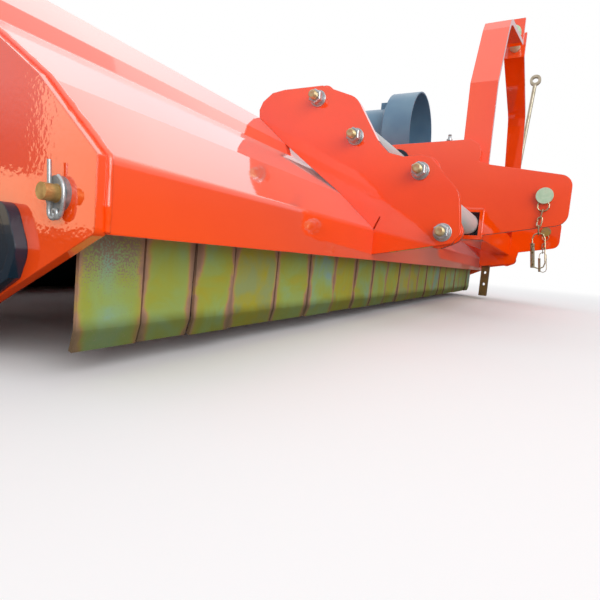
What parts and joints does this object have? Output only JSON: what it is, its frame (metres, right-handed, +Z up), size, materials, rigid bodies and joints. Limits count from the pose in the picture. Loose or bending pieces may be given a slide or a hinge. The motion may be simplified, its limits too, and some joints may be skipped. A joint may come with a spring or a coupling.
{
  "type": "side-shift flail mulcher for a tractor's three-point linkage",
  "caption": "Flail mulcher for a tractor: folded hood over a hammer rotor, front flaps, rear roller and door, and a side-shifting hitch frame on two rails.",
  "frame": {"origin": "on the ground under the middle of the machine's box", "axes": "+X to the machine's left end, -Y towards the tractor, +Z up"},
  "size_m": [1.804, 0.9148, 0.766],
  "materials": {
    "black_enamel": "glossy blue-black enamel",
    "chain_zinc": "pale zinc plated chain",
    "chrome_rod": "hard chromed rod",
    "forged_steel": "forged steel, dark scale",
    "gearbox_grey": "cast iron, grey primer",
    "machined_steel": "machined steel, bare",
    "rail_grey": "drawn steel tube, pale grey",
    "red_enamel": "glossy orange-red enamel over welded sheet, slight orange peel",
    "roller_black": "black painted tube",
    "rotor_paint": "black painted steel",
    "shield_plastic": "moulded blue-grey polyethylene",
    "yellow_zinc": "yellow chromated zinc plate, olive with brown and green tints"
  },
  "bodies": {
    "housing": {"belt_guard": "red_enamel", "counter_bar": "black_enamel", "door_hinge_rod": "yellow_zinc", "drive_tube": "red_enamel", "flap_rod": "yellow_zinc", "gearbox": "gearbox_grey", "gearbox_saddle": "red_enamel", "hood": "red_enamel", "lower_rail": "rail_grey", "pto_shield": "shield_plastic", "rail_bracket_left": "red_enamel", "rail_bracket_right": "red_enamel", "rail_flanges": "red_enamel", "rod_hangers": "red_enamel", "roller_arm_left": "red_enamel", "roller_arm_right": "red_enamel", "rotor_bearing_left": "black_enamel", "rotor_bearing_right": "black_enamel", "shift_rod": "chrome_rod", "side_plate_left": "red_enamel", "side_plate_right": "red_enamel", "skid_left": "black_enamel", "skid_right": "black_enamel", "upper_rail": "rail_grey"},
    "rotor": {"rotor_drum": "rotor_paint", "rotor_hammers": "forged_steel"},
    "roller": {"roller": "roller_black"},
    "front_flaps": {"front_flaps": "yellow_zinc"},
    "rear_door": {"rear_door": "red_enamel"},
    "input_shaft": {"input_shaft": "machined_steel"},
    "parking_leg": {"parking_leg": "yellow_zinc"},
    "hitch": {"hitch_cross_tube": "red_enamel", "hitch_ear_left": "red_enamel", "hitch_ear_right": "red_enamel", "hitch_plate_left": "red_enamel", "hitch_plate_right": "red_enamel", "hose_carrier": "yellow_zinc", "leg_socket": "red_enamel", "lower_pin_left": "yellow_zinc", "lower_pin_right": "yellow_zinc", "mast_bar_left": "red_enamel", "mast_bar_right": "red_enamel", "pin_chains": "chain_zinc", "rail_bush_left": "black_enamel", "rail_bush_right": "black_enamel", "shift_barrel": "black_enamel", "slide_block_left": "black_enamel", "slide_block_right": "black_enamel", "top_pin": "yellow_zinc"}
  },
  "joints": [
    {"name": "side_shift", "type": "slide", "parent": "housing", "child": "hitch", "axis": [1, 0, 0], "range_m": [-0.25, 0.012]},
    {"name": "rotor_spin", "type": "hinge", "parent": "housing", "child": "rotor", "pos_m": [-0.026, 0.0775, 0.172], "axis": [1, 0, 0], "continuous": true},
    {"name": "input_spin", "type": "hinge", "parent": "housing", "child": "input_shaft", "pos_m": [0.14, -0.0125, 0.421], "axis": [0, 1, 0], "continuous": true},
    {"name": "roller_spin", "type": "hinge", "parent": "housing", "child": "roller", "pos_m": [-0.026, 0.3875, 0.07], "axis": [1, 0, 0], "continuous": true},
    {"name": "flap_swing", "type": "hinge", "parent": "housing", "child": "front_flaps", "pos_m": [-0.026, -0.1808, 0.1197], "axis": [1, 0, 0], "range_deg": [-25, 55]},
    {"name": "door_lift", "type": "hinge", "parent": "housing", "child": "rear_door", "pos_m": [-0.026, 0.2335, 0.318], "axis": [1, 0, 0], "range_deg": [0, 80]},
    {"name": "leg_lift", "type": "slide", "parent": "hitch", "child": "parking_leg", "axis": [0, 0, 1], "range_m": [0, 0.1]}
  ],
  "couplings": [
    {"joint": "input_spin", "follows": "rotor_spin", "ratio": 0.26}
  ]
}
